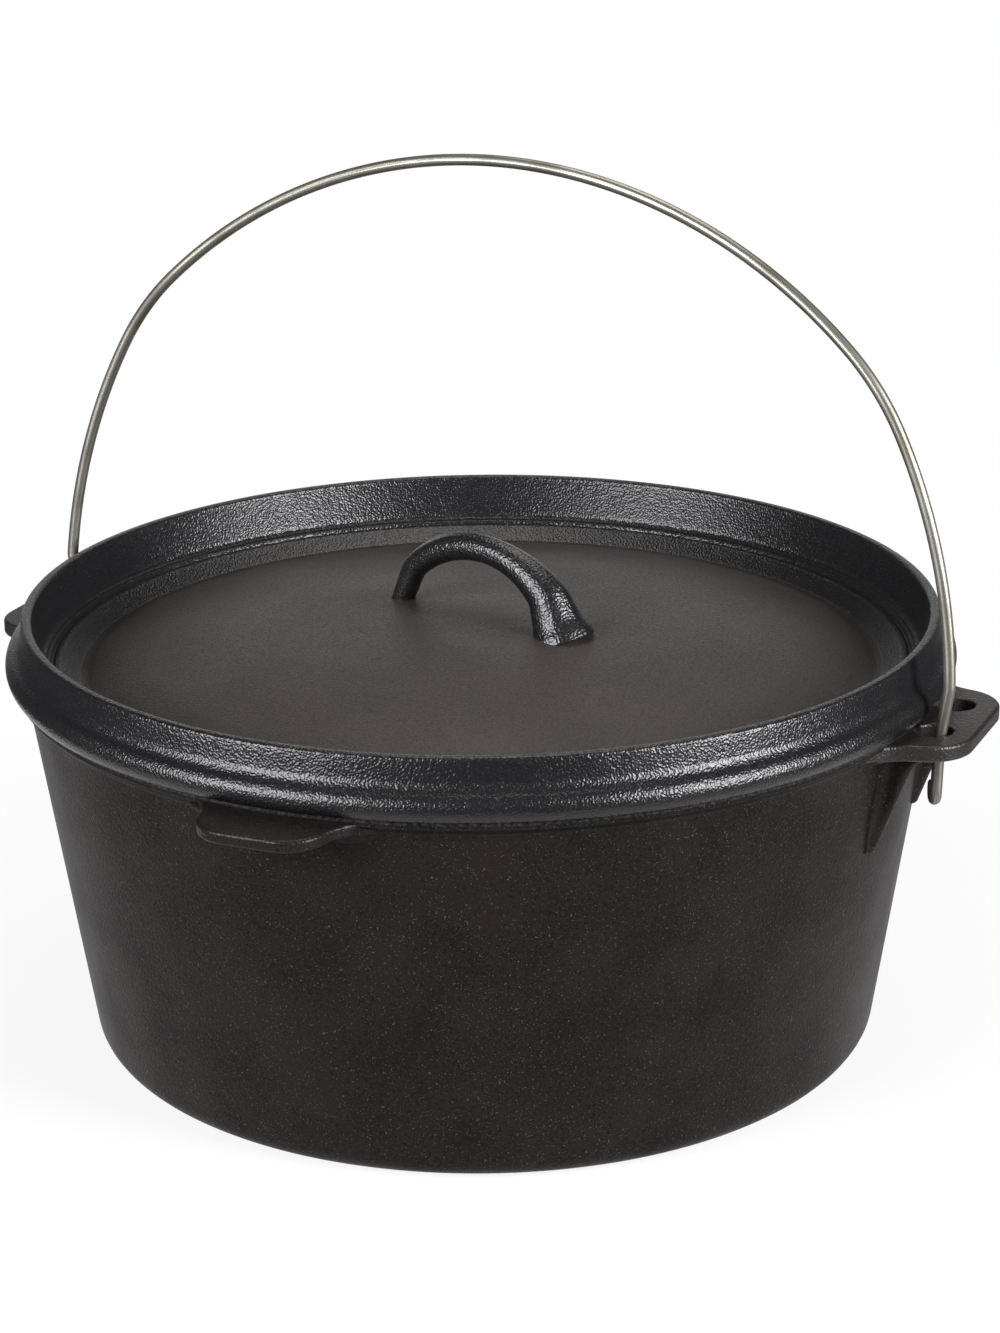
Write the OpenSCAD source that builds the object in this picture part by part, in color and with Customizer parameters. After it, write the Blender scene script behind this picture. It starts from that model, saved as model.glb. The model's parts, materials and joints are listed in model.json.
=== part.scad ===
// Camp dutch oven: a cast pot with ears, a flanged lid that takes coals, and a wire bail.
// Millimetres. Z is up, the origin is the centre of the flat base, the ears lie along X
// and the tipping lug points along -Y.

/* [Pot] */
// Height of the pot, from its base to the rim that the lid seats on
pot_h = 134; // [100:1:200]
// Inner radius of the mouth at the rim
mouth_r = 152.5; // [120:0.5:200]
// Lean of the wall from upright, in degrees
draft = 8.7; // [4:0.1:12]
// Thickness of the wall, measured level
wall_t = 5.4; // [4:0.1:8]
// Thickness of the floor
floor_t = 6; // [4:0.5:10]
// Radius of the round edge between the base and the wall
base_round = 9; // [5:0.5:16]
// Radius of the cove between the floor and the wall, inside
floor_cove = 12; // [6:0.5:20]
// How far the rim bead stands out from the wall
rim_out = 2.7; // [1.5:0.1:4]
// Height of the rim bead's upright face
rim_h = 3; // [2:0.1:6]
// Bevel on the edges of the rim
rim_bevel = 0.8; // [0.3:0.1:1.2]

/* [Ears] */
// How far the ears reach out from the rim bead
ear_out = 20; // [17:0.5:30]
// Thickness of the ear plates
ear_t = 5.5; // [4:0.1:8]
// Drop from the rim to the top face of the ears
ear_drop = 2; // [1:0.1:6]
// Length of the straight outer edge of an ear
ear_edge = 30; // [20:0.5:44]
// Radius of an ear's outer corners
ear_corner = 15.5; // [8:0.5:18]
// Radius of the hollow where an ear runs into the wall
ear_root = 22; // [10:0.5:30]
// Diameter of the holes in the ears
hole_d = 12; // [9:0.1:14]
// Distance between the two holes of an ear
hole_pitch = 26.8; // [20:0.1:34]
// Distance from an ear's outer edge to the middle of its holes
hole_in = 13.8; // [11:0.1:15]

/* [Ribs] */
// Thickness of the ribs under the ears
rib_t = 5; // [3:0.1:7]
// Height of the ribs
rib_h = 36; // [24:0.5:50]
// Distance from an ear's side to the middle of its rib
rib_in = 6.5; // [4:0.1:9]
// How far the ribs stop short of the ear's outer edge
rib_short = 16; // [12:0.1:18]
// Radius of the hollow between a rib and the ear
rib_round = 7; // [3:0.1:9]
// Radius of the round nose at a rib's foot
rib_nose = 2; // [1:0.1:7]

/* [Tipping lug] */
// How far the lug reaches out from the rim bead
lug_out = 20; // [14:0.5:30]
// Thickness of the lug
lug_t = 4.2; // [3:0.1:8]
// Length of the lug's straight outer edge
lug_edge = 17; // [10:0.5:30]
// Radius of the lug's outer corners
lug_corner = 13; // [8:0.5:16]
// Radius of the hollow where the lug runs into the wall
lug_root = 22; // [10:0.5:30]

/* [Lid] */
// How far the lid's bead reaches past the rim bead
lid_over = 3.4; // [2:0.1:6]
// Radius of the bead round the lid's edge
bead_r = 5.5; // [4.5:0.1:7]
// Height of the bead's middle above the seat
bead_up = 4; // [2:0.1:4.4]
// Radius of the hollow between the bead and the flange
crease_r = 3; // [1:0.1:6]
// Height of the coal flange above the seat
flange_h = 19.6; // [14:0.1:28]
// Thickness of the flange at its top
flange_t = 3.5; // [2.5:0.1:5]
// How far the flange's top edge is in from the bead's edge
flange_in = 6; // [4.5:0.1:8]
// Lean of the flange's two faces from upright, in degrees
flange_draft = 8.5; // [3:0.1:12]
// Bevel on the flange's top edges
flange_bevel = 0.8; // [0.3:0.1:1.2]
// Height of the upper ledge above the seat
ledge_up = 3.4; // [2:0.1:5]
// Width of the upper ledge
ledge_w = 3; // [2:0.1:4]
// Step down from the upper ledge to the lower one
ledge_step = 0.8; // [0.4:0.1:1.4]
// Width of the lower ledge
ledge_low_w = 3.5; // [2:0.1:5]
// Radius of the domed plate
plate_r = 134; // [100:0.5:138]
// How far the plate's edge lies below the seat
plate_drop = 0.9; // [0:0.1:2]
// Thickness of the plate
plate_t = 5.5; // [4.5:0.1:8]
// Rise of the dome
dome_rise = 15.2; // [6:0.1:20]
// Radius of the hollow round the plate's edge
valley_r = 12; // [6:0.5:20]
// Gap between the lid's plug and the mouth
lid_play = 1.2; // [0.6:0.1:3]
// How far the plug's side reaches into the mouth
plug_depth = 3.5; // [2:0.1:5]

/* [Lid handle] */
// Diameter of the loop's section at its crown
loop_d = 9.5; // [7:0.1:12]
// Diameter of the loop at its thick foot
thick_foot_d = 20; // [12:0.1:24]
// Diameter of the loop at its thin foot
thin_foot_d = 7.6; // [6:0.1:12]
// Height of the loop's middle line above the dome
loop_rise = 23.3; // [18:0.1:34]
// Radius of the loop's crown
loop_crown_r = 41; // [38:0.5:60]
// Half of the angle that the crown turns through
loop_crown_a = 42; // [32:0.5:44]
// Radius of the loop's shoulders
loop_shoulder_r = 12; // [10:0.5:20]
// Angle of the legs below the level
loop_leg_a = 66; // [60:1:84]
// Turn of the lid, which is free to sit at any angle, in degrees
lid_turn = -14.5; // [-90:0.5:90]

/* [Bail] */
// Diameter of the wire
wire_d = 4; // [3:0.1:5]
// How far outside the middle of its hole the wire hangs
wire_seat = 2.1; // [0:0.1:2.4]
// How far the legs are set out above the ears
leg_set = 2.2; // [1:0.1:4]
// Height of the set above the pivot
leg_h = 17.3; // [12:0.1:30]
// Angle at which the crown ends and the shoulders begin
crown_a = 42.7; // [38:0.1:46]
// Radius of the shoulders
shoulder_r = 96; // [70:1:120]
// Angle at which the shoulders end and the sides begin
shoulder_a = 62.3; // [56:0.1:68]
// Radius of the sides
side_r = 198; // [160:1:240]
// Angle at which the sides end
side_a = 86.7; // [82:0.1:90]
// Depth of the hook below the pivot
hook_drop = 18; // [13:0.1:24]
// Radius of the hook's turn
hook_r = 3.2; // [2.6:0.1:5]
// Length of the hook's upturned end
hook_end = 2; // [0.5:0.1:4]
// Direction of the hook, in degrees from the way out
hook_turn = 118; // [60:1:180]
// Lean of the bail from upright as drawn, in degrees
bail_lean = 5.5; // [-30:0.5:30]

/* [Hidden] */

iron = [0.24, 0.235, 0.225];
zinc = [0.78, 0.77, 0.73];
fine = 180;
coarse = 48;
bar_trim = 0.02;
loop_steps = 9;
knuckle_full = 1.012;

// Where the pot's wall is: its outer radius at a height, and that of its rim bead
function wall_r(z) = mouth_r + wall_t - (pot_h - z) * tan(draft);
rim_r = wall_r(pot_h) + rim_out;

// The plates that stand out from the wall share one level
ear_top = pot_h - ear_drop;
ear_z = ear_top - ear_t;
ear_tip = rim_r + ear_out;
ear_half = ear_edge / 2 + ear_corner;
hole_x = ear_tip - hole_in;
hole_y = hole_pitch / 2;
lug_z = ear_top - lug_t;
lug_tip = rim_r + lug_out;
rib_y = ear_half - rib_in;

// The lid's own radii and heights
lid_r = rim_r + lid_over;
flange_r = lid_r - flange_in;
flange_top = pot_h + flange_h;
function flange_out(z) = flange_r + (flange_top - z) * tan(flange_draft);
function flange_inner(z) = flange_r - flange_t - (flange_top - z) * tan(flange_draft);
ledge_z = pot_h + ledge_up;
ledge_r = flange_inner(ledge_z);
low_z = ledge_z - ledge_step;
low_r = ledge_r - ledge_w - ledge_low_w;
plate_z = pot_h - plate_drop;
plug_r = mouth_r - lid_play;
dome_r = (plate_r * plate_r + dome_rise * dome_rise) / (2 * dome_rise);
dome_c = [0, plate_z + dome_rise - dome_r];
dome_top = plate_z + dome_rise;
function dome_z(r) = dome_c.y + sqrt(dome_r * dome_r - r * r);

// The bail turns on the line through the two holes that its hooks hang in
pivot_z = ear_top - ear_t / 2;
pivot_turn = -atan2(hole_y, hole_x);
pivot_s = norm([hole_x, hole_y]) + wire_seat;
leg_s = pivot_s + leg_set;
crown_r = (leg_s - shoulder_r * (sin(shoulder_a) - sin(crown_a)) - side_r * (sin(side_a) - sin(shoulder_a)))
    / sin(crown_a);
side_c = [leg_s - side_r * sin(side_a), leg_h - side_r * cos(side_a)];
shoulder_c = side_c + (side_r - shoulder_r) * [sin(shoulder_a), cos(shoulder_a)];
crown_c = shoulder_c + (shoulder_r - crown_r) * [sin(crown_a), cos(crown_a)];

// Points along an arc, its angles counted from +X towards +Y
function arc(c, r, from, to, n) =
    [for (i = [0 : n]) let (a = from + (to - from) * i / n) c + r * [cos(a), sin(a)]];

// Centre of the circle of radius r that touches the circle of radius big round the
// origin and the circle of radius small round c, both from outside, on their +Y side
function touching(big, c, small, r) =
    let (d = norm(c), u = c / d,
         a = (pow(big + r, 2) - pow(small + r, 2) + d * d) / (2 * d),
         h = sqrt(pow(big + r, 2) - a * a))
    a * u + h * [-u.y, u.x];

// Outline of a plate that runs out of a round wall, with hollow roots and round corners
module lug_outline(tip, edge, corner, root, wall) {
    c = [tip - corner, edge / 2];
    hollow = touching(wall, c, corner, root);
    translate([0, -edge / 2]) square([tip, edge]);
    for (side = [0, 1]) mirror([0, side]) {
        translate(c) circle(corner, $fn = coarse * 2);
        difference() {
            polygon([[0, 0], c, hollow]);
            translate(hollow) circle(root, $fn = coarse * 2);
        }
    }
}

module lug_plate(tip, edge, corner, root, z, t) {
    wall = wall_r(z);
    translate([0, 0, z]) linear_extrude(t) difference() {
        lug_outline(tip, edge, corner, root, wall);
        circle(wall - wall_t / 2, $fn = fine);
    }
}

// One rib's outline in the plane of X and Z, from the wall out under the ear, round at its foot
module rib_outline() {
    foot_z = ear_z - rib_h;
    in_y = rib_y + rib_t / 2;
    function wall_x(z, y, depth) = sqrt(pow(wall_r(z) - depth, 2) - y * y);
    top = [ear_tip - rib_short, ear_z];
    nose_c = [wall_x(foot_z + rib_nose, rib_y, 0), foot_z + rib_nose];
    away = top - nose_c;
    nose_a = atan2(away.y, away.x) - acos(rib_nose / norm(away));
    nose = nose_c + rib_nose * [cos(nose_a), sin(nose_a)];
    v = (nose - top) / norm(nose - top);
    reach = rib_round / tan(acos(v.x) / 2);
    centre = top + [reach, -rib_round];
    polygon(concat(
        [
            [wall_x(ear_z, in_y, wall_t / 2), ear_z + ear_t / 2],
            top + [0, ear_t / 2],
            top
        ],
        arc(nose_c, rib_nose, nose_a, -100, 6),
        [[wall_x(foot_z, in_y, wall_t / 2), foot_z]]
    ));
    difference() {
        polygon([top + [-1, 1], top + [reach, 1], top + [reach, 0], centre, top + reach * v, top + reach * v - [1, 0]]);
        translate(centre) circle(rib_round, $fn = coarse);
    }
}

module ear() {
    lug_plate(ear_tip, ear_edge, ear_corner, ear_root, ear_z, ear_t);
    for (y = [-rib_y, rib_y])
        translate([0, y + rib_t / 2, 0]) rotate([90, 0, 0]) linear_extrude(rib_t) rib_outline();
}

// Section of the pot: the wall leans out from a round base to a bead at the rim
module pot_section() {
    base_c = [wall_r(base_round) - base_round / cos(draft), base_round];
    cove_c = [wall_r(floor_t + floor_cove) - wall_t - floor_cove / cos(draft), floor_t + floor_cove];
    bead_z = pot_h - rim_h;
    polygon(concat(
        [[0, 0]],
        arc(base_c, base_round, -90, -draft, 10),
        [
            [wall_r(bead_z - rim_out), bead_z - rim_out],
            [rim_r, bead_z],
            [rim_r, pot_h - rim_bevel],
            [rim_r - rim_bevel, pot_h],
            [mouth_r + rim_bevel, pot_h],
            [wall_r(pot_h - rim_bevel) - wall_t, pot_h - rim_bevel]
        ],
        arc(cove_c, floor_cove, -draft, -90, 10),
        [[0, floor_t]]
    ));
}

module pot() {
    color(iron) difference() {
        union() {
            rotate_extrude($fn = fine) pot_section();
            for (turn = [0, 180]) rotate([0, 0, turn]) ear();
            rotate([0, 0, -90]) lug_plate(lug_tip, lug_edge, lug_corner, lug_root, lug_z, lug_t);
        }
        for (turn = [0, 180], y = [-hole_y, hole_y])
            rotate([0, 0, turn]) translate([hole_x, y, ear_z - 1]) cylinder(d = hole_d, h = ear_t + 2, $fn = coarse);
    }
}

// Section of the lid: a bead on the rim, the coal flange, two ledges, a hollow and the dome
module lid_section() {
    bead_c = [lid_r - bead_r, pot_h + bead_up];
    flange_e = [sin(flange_draft), -cos(flange_draft)];
    flange_n = [cos(flange_draft), sin(flange_draft)];
    flange_w = [flange_r, flange_top] + crease_r * flange_n - bead_c;
    flange_s = -(flange_w * flange_e)
        - sqrt(pow(flange_w * flange_e, 2) - flange_w * flange_w + pow(bead_r + crease_r, 2));
    crease_c = bead_c + flange_w + flange_s * flange_e;
    crease_a = atan2(crease_c.y - bead_c.y, crease_c.x - bead_c.x);
    slope = [low_r, low_z] - [plate_r, plate_z];
    e = slope / norm(slope);
    n = [-e.y, e.x];
    w = [plate_r, plate_z] + valley_r * n - dome_c;
    s = -(w * e) + sqrt(pow(w * e, 2) - w * w + pow(dome_r + valley_r, 2));
    valley_c = dome_c + w + s * e;
    valley_out = atan2(-n.y, -n.x);
    valley_in = atan2(dome_c.y - valley_c.y, dome_c.x - valley_c.x);
    dome_out = atan2(valley_c.y - dome_c.y, valley_c.x - dome_c.x);
    bead_low = asin(-bead_up / bead_r);
    under_r = dome_r - plate_t;
    under_out = acos((plate_r - plate_t) / under_r);
    polygon(concat(
        arc(bead_c, bead_r, bead_low, crease_a, 14),
        arc(crease_c, crease_r, crease_a + 180, flange_draft + 180, 5),
        [
            [flange_out(flange_top - flange_bevel), flange_top - flange_bevel],
            [flange_r - flange_bevel, flange_top],
            [flange_r - flange_t + flange_bevel, flange_top],
            [flange_inner(flange_top - flange_bevel), flange_top - flange_bevel],
            [ledge_r, ledge_z],
            [ledge_r - ledge_w, ledge_z],
            [ledge_r - ledge_w, low_z],
            [low_r, low_z]
        ],
        arc(valley_c, valley_r, valley_out, valley_in, 6),
        arc(dome_c, dome_r, dome_out, 90, 12),
        arc(dome_c, under_r, 90, under_out, 12),
        [
            [plug_r - plug_depth * tan(draft) - plate_t, pot_h - plug_depth - plate_t / 4],
            [plug_r - plug_depth * tan(draft), pot_h - plug_depth],
            [plug_r, pot_h]
        ]
    ));
}

// A round bar bent about c in the plane of X and Z, between two angles down from upright;
// bars stop just short of their ends, where a knuckle joins them
module bent_bar(c, r, d, from, to) {
    trim = bar_trim * d / r * 180 / PI;
    translate([c.x, 0, c.y]) rotate([90, 0, 0]) rotate([0, 0, 90 - to + trim])
        rotate_extrude(angle = to - from - 2 * trim, $fn = fine) translate([r, 0]) circle(d = d, $fn = coarse);
}

// A straight round bar between two points of the plane of X and Z, with a diameter at each
module cone(from, to, from_d, to_d) {
    v = to - from;
    trim = bar_trim * from_d;
    translate([from.x, 0, from.y]) rotate([0, atan2(v.x, v.y), 0]) translate([0, 0, trim])
        cylinder(d1 = from_d, d2 = to_d, h = norm(v) - 2 * trim, $fn = coarse);
}

module bar(from, to, d) {
    cone(from, to, d, d);
}

// The joint between two bars, a little fuller than they are
module knuckle(p, d) {
    translate([p.x, 0, p.y]) sphere(d = d * knuckle_full, $fn = coarse);
}

// One half of the loop's middle line: crown, shoulder and a leg down into the dome
loop_crown_c = [0, dome_top + loop_rise - loop_crown_r];
loop_shoulder_c = loop_crown_c + (loop_crown_r - loop_shoulder_r) * [sin(loop_crown_a), cos(loop_crown_a)];
loop_leg_top = loop_shoulder_c + loop_shoulder_r * [sin(loop_leg_a), cos(loop_leg_a)];
loop_crown_l = loop_crown_r * loop_crown_a * PI / 180;
loop_shoulder_l = loop_shoulder_r * (loop_leg_a - loop_crown_a) * PI / 180;
loop_leg_l = (loop_leg_top.y - dome_z(loop_leg_top.x) + plate_t / 2) / sin(loop_leg_a);
loop_l = loop_crown_l + loop_shoulder_l + loop_leg_l;
function loop_at(l) =
    l < loop_crown_l ? let (a = l / loop_crown_r * 180 / PI)
        loop_crown_c + loop_crown_r * [sin(a), cos(a)]
    : l < loop_crown_l + loop_shoulder_l
    ? let (a = loop_crown_a + (l - loop_crown_l) / loop_shoulder_r * 180 / PI)
        loop_shoulder_c + loop_shoulder_r * [sin(a), cos(a)]
    : loop_leg_top + (l - loop_crown_l - loop_shoulder_l) * [cos(loop_leg_a), -sin(loop_leg_a)];

// Half of the loop, in short cones that grow or taper towards its foot
module loop_side(foot_d) {
    function d(i) = loop_d + (foot_d - loop_d) * pow(i / loop_steps, 2);
    function p(i) = loop_at(loop_l * i / loop_steps);
    for (i = [0 : loop_steps - 1]) {
        cone(p(i), p(i + 1), d(i), d(i + 1));
        if (i > 0) knuckle(p(i), d(i));
    }
}

module loop_handle() {
    loop_side(thick_foot_d);
    mirror([1, 0, 0]) loop_side(thin_foot_d);
    knuckle(loop_at(0), loop_d);
}

module lid() {
    color(iron) {
        rotate_extrude($fn = fine) lid_section();
        rotate([0, 0, lid_turn]) loop_handle();
    }
}

// One side of the bail below its crown: shoulder, side, leg, and the hook under the ear
module bail_side() {
    top = [leg_s, leg_h];
    pivot = [pivot_s, 0];
    low = [pivot_s, -hook_drop];
    knuckle(crown_c + crown_r * [sin(crown_a), cos(crown_a)], wire_d);
    bent_bar(shoulder_c, shoulder_r, wire_d, crown_a, shoulder_a);
    knuckle(side_c + side_r * [sin(shoulder_a), cos(shoulder_a)], wire_d);
    bent_bar(side_c, side_r, wire_d, shoulder_a, side_a);
    knuckle(top, wire_d);
    bar(top, pivot, wire_d);
    knuckle(pivot, wire_d);
    bar(pivot, low, wire_d);
    knuckle(low, wire_d);
    translate([low.x, 0, low.y]) rotate([0, 0, hook_turn]) {
        bent_bar([hook_r, 0], hook_r, wire_d, 90, 270);
        knuckle([2 * hook_r, 0], wire_d);
        bar([2 * hook_r, 0], [2 * hook_r, hook_end], wire_d);
        knuckle([2 * hook_r, hook_end], wire_d);
    }
}

module bail() {
    color(zinc) translate([0, 0, pivot_z]) rotate([0, 0, pivot_turn]) rotate([-bail_lean, 0, 0]) {
        bent_bar(crown_c, crown_r, wire_d, -crown_a, crown_a);
        for (turn = [0, 180]) rotate([0, 0, turn]) bail_side();
    }
}

pot();
lid();
bail();
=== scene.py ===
"""Looks of a camp dutch oven: two iron castings and a wire bail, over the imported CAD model."""

import json
import math

import bmesh
import bpy
import numpy as np
from bpy.props import FloatProperty, FloatVectorProperty, PointerProperty
from mathutils import Matrix, Vector


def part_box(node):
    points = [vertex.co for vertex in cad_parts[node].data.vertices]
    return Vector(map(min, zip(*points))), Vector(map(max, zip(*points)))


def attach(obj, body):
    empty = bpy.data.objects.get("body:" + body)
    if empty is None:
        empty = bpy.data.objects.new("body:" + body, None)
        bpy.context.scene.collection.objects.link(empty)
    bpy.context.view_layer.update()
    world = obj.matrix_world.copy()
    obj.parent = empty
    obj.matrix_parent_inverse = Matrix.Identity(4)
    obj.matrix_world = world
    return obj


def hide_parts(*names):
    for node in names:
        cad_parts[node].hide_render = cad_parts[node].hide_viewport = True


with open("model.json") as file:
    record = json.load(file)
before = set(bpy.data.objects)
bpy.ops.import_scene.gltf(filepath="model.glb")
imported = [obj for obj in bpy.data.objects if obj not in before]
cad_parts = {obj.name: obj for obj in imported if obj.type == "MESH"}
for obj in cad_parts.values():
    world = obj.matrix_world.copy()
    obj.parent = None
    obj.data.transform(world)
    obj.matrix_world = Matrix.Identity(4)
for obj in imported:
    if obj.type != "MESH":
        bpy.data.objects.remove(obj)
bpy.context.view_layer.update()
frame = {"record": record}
POT_LOW, POT_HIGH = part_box("pot")
LID_LOW, LID_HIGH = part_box("lid")
HINGE = next(j for j in frame["record"]["behaviour"]["joints"] if j["name"] == "bail_swing")

SECTION_STEP = 0.004  # longest stretch of a turned section with no point on it
LOOP_STEP = 0.0006  # between the rings of the loop
WIRE_STEP = 0.0008  # between the rings of the wire

bl_info = {
    "name": "Camp Dutch Oven",
    "version": (1, 0, 0),
    "blender": (4, 5, 0),
    "location": "View3D > Sidebar > Oven",
    "description": "Builds the castings, the bail and the studio of a camp dutch oven",
    "category": "Object",
}


def length(name, value, description):
    """A length property, its default in metres."""
    return FloatProperty(
        name=name, description=description, default=value, unit="LENGTH", subtype="DISTANCE", precision=5
    )


def angle(name, degrees, description):
    """An angle property, its default given in degrees."""
    return FloatProperty(name=name, description=description, default=math.radians(degrees), subtype="ANGLE")


def tint(name, rgb, description):
    """A linear colour property."""
    return FloatVectorProperty(
        name=name, description=description, default=rgb, size=3, subtype="COLOR", min=0.0, max=1.0
    )


def spot(name, place, description):
    """A place property, in metres."""
    return FloatVectorProperty(
        name=name, description=description, default=place, size=3, subtype="TRANSLATION"
    )


class OvenPotSizes(bpy.types.PropertyGroup):
    """Sizes of the pot casting."""

    height: length("Height", POT_HIGH[2], "From the base to the rim's top")
    mouth: length("Mouth radius", 0.1525, "Inner radius at the rim")
    wall: length("Wall", 0.0054, "Thickness of the wall")
    floor: length("Floor", 0.006, "Thickness of the floor")
    draft: angle("Draft", 8.7, "Lean of the wall from upright")
    base_round: length("Base round", 0.009, "Radius between base and wall")
    floor_cove: length("Floor cove", 0.012, "Hollow radius inside, between floor and wall")
    rim_out: length("Rim bead", 0.0027, "How far the rim stands out from the wall")
    rim_height: length("Rim height", 0.003, "Height of the rim bead")


class OvenPlateSizes(bpy.types.PropertyGroup):
    """Sizes of the ears, their ribs and the tipping lug."""

    ear_tip: length("Ear tip", POT_HIGH[0], "From the pot's axis to an ear's edge")
    lug_tip: length("Lug tip", -POT_LOW[1], "From the pot's axis to the lug's edge")
    drop: length("Drop", 0.002, "From the rim's top down to the plates' tops")
    thick: length("Thickness", 0.0055, "Thickness of the ears")
    lug_thick: length("Lug thickness", 0.0042, "Thickness of the lug")
    ear_edge: length("Ear edge", 0.030, "Straight part of an ear's edge")
    ear_corner: length("Ear corner", 0.0155, "Radius of an ear's corners")
    lug_edge: length("Lug edge", 0.017, "Straight part of the lug's edge")
    lug_corner: length("Lug corner", 0.013, "Radius of the lug's corners")
    root: length("Root", 0.022, "Hollow radius where a plate leaves the wall")
    hole: length("Hole", 0.012, "Diameter of the holes")
    hole_pitch: length("Hole pitch", 0.0268, "Between the two holes of an ear")
    hole_in: length("Hole inset", 0.0138, "From an ear's edge to its holes' middles")
    cove: length("Cove", 0.0045, "Hollow radius under the plates")
    soft: length("Edge softness", 0.0011, "Rounding of the cast edges")
    rib_inset: length("Rib inset", 0.0065, "From an ear's side to the middle of its rib")
    rib_thick: length("Rib thickness", 0.005, "Thickness of the ribs")
    rib_height: length("Rib height", 0.036, "How far the ribs reach down")
    rib_short: length("Rib setback", 0.016, "How far the ribs stop short of an ear's edge")
    rib_nose: length("Rib nose", 0.002, "Radius of a rib's foot")


class OvenLidSizes(bpy.types.PropertyGroup):
    """Sizes of the lid casting and its loop."""

    radius: length("Radius", LID_HIGH[0], "Outer radius of the bead")
    bead: length("Bead", 0.0055, "Radius of the bead's section")
    bead_up: length("Bead height", 0.004, "The bead's middle above the rim")
    crease: length("Crease", 0.0055, "Hollow radius between the bead and the flange")
    flange_height: length("Flange height", 0.0196, "From the rim to the flange's top")
    flange_thick: length("Flange thickness", 0.0035, "At its top")
    flange_in: length("Flange inset", 0.006, "From the bead's outside to the flange's top")
    flange_draft: angle("Flange draft", 8.5, "Lean of the flange's faces")
    ledge_up: length("Ledge", 0.0034, "The upper ledge above the rim")
    ledge_wide: length("Ledge width", 0.003, "Width of the upper ledge")
    ledge_step: length("Ledge step", 0.0008, "Down to the lower ledge")
    low_wide: length("Lower ledge width", 0.0037, "Width of the lower ledge")
    groove_wide: length("Groove width", 0.002, "Width of the groove between the ledges")
    groove_deep: length("Groove depth", 0.001, "Depth of the groove below the lower ledge")
    step_run: length("Step run", 0.0066, "How far in the step runs as it falls to the trough")
    trough: length("Trough", 0.0008, "The trough round the dome, below the dome's edge")
    trough_in: length("Trough edge", 0.0025, "From the dome's edge out to where the trough begins")
    plate_radius: length("Plate radius", 0.134, "Where the dome begins")
    plate_drop: length("Plate drop", 0.0009, "The dome's edge below the rim")
    plate_thick: length("Plate thickness", 0.0055, "Thickness of the dome")
    dome_rise: length("Dome rise", 0.0152, "The dome's middle above its edge")
    dome_straight: length("Dome skirt", 0.116, "Radius from which the dome falls straight to the trough")
    plug_play: length("Plug play", 0.0012, "Between the plug and the mouth")
    plug_depth: length("Plug depth", 0.0035, "How far the lid reaches into the mouth")
    loop_thick: length("Loop", 0.0095, "Diameter of the loop's crown")
    thick_foot: length("Thick foot", 0.020, "Diameter of the loop at its thick foot")
    thin_foot: length("Thin foot", 0.0076, "Diameter of the loop at its thin foot")
    foot_flare: length("Foot flare", 0.0012, "How far the thick foot spreads at the dome")
    flare_height: length("Flare height", 0.005, "Height over the dome at which the flare ends")
    ridge: length("Casting ridge", 0.00025, "Height of the ridge along the loop's top")
    loop_rise: length("Loop rise", 0.0233, "The crown's middle line above the dome")
    crown_radius: length("Loop crown", 0.041, "Radius of the loop's crown")
    crown_half: angle("Crown half angle", 42, "Half of the crown's turn")
    shoulder_radius: length("Loop shoulders", 0.012, "Radius of the loop's shoulders")
    leg_slope: angle("Leg slope", 66, "The legs' slope below level")
    turn: angle("Turn", -14.5, "How the lid is turned on the pot")


class OvenBailSizes(bpy.types.PropertyGroup):
    """Sizes of the wire bail."""

    wire: length("Wire", 0.004, "Diameter of the wire")
    pivot: length("Pivot radius", 0.16944, "From the pot's axis to the wire in its hole")
    leg_out: length("Leg offset", 0.0022, "How far a leg stands outside its hook")
    leg_height: length("Leg height", 0.0173, "Where the leg meets the arch")
    crown_half: angle("Crown half angle", 42.7, "Half of the crown's turn")
    shoulder_radius: length("Shoulder radius", 0.096, "Radius of the shoulders")
    shoulder_end: angle("Shoulder end", 62.3, "Where a shoulder meets its side")
    side_radius: length("Side radius", 0.198, "Radius of the sides")
    side_end: angle("Side end", 86.7, "Where a side meets its leg")
    leg_bend: length("Leg bend", 0.05, "Radius of the bend where a leg meets its hook")
    hook_drop: length("Hook drop", 0.018, "From the pivot down to the hook's bend")
    hook_radius: length("Hook radius", 0.0032, "Radius of the hook's bend")
    hook_end: length("Hook end", 0.002, "The wire past the hook's bend")
    hook_turn: angle("Hook turn", 118, "How far a hook is turned from the bail's plane")
    lean: angle("Lean", 5.5, "How far the bail leans back")


class OvenFinish(bpy.types.PropertyGroup):
    """Colours of the iron and the wire."""

    iron: tint("Iron", (0.0046, 0.0043, 0.0047), "Seasoned iron of the flange and loop")
    wall_iron: tint("Wall iron", (0.0076, 0.0059, 0.0053), "Browner iron of the pot's wall")
    plate_iron: tint("Plate iron", (0.020, 0.0160, 0.0132), "Duller iron of the lid's plate")
    ear_iron: tint("Ear iron", (0.0100, 0.0084, 0.0075), "Iron of the ears and the lug")
    bare_iron: tint("Bare iron", (0.10, 0.102, 0.11), "Bright grains where the seasoning is thin")
    zinc: tint("Zinc", (0.245, 0.240, 0.202), "Plating of the wire")
    stained_zinc: tint("Stained zinc", (0.175, 0.157, 0.098), "Yellowed patches of the plating")
    dull_zinc: tint("Dull zinc", (0.105, 0.103, 0.086), "Darker streaks of the plating")


class OvenStage(bpy.types.PropertyGroup):
    """Camera and light."""

    lens: FloatProperty(name="Lens", description="Focal length at 36 mm wide", default=122.8, unit="CAMERA")
    eye: spot("Eye", (0.4508, -1.0299, 0.5154), "Camera's place")
    aim: spot("Aim", (0.00593, 0.00255, 0.12846), "What the camera looks at")
    roll: angle("Roll", -0.57, "Turn of the camera about its view")
    floor: tint("Floor", (0.62, 0.62, 0.62), "Pale floor")
    floor_radius: length("Floor radius", 0.42, "Radius of the round floor")


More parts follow.
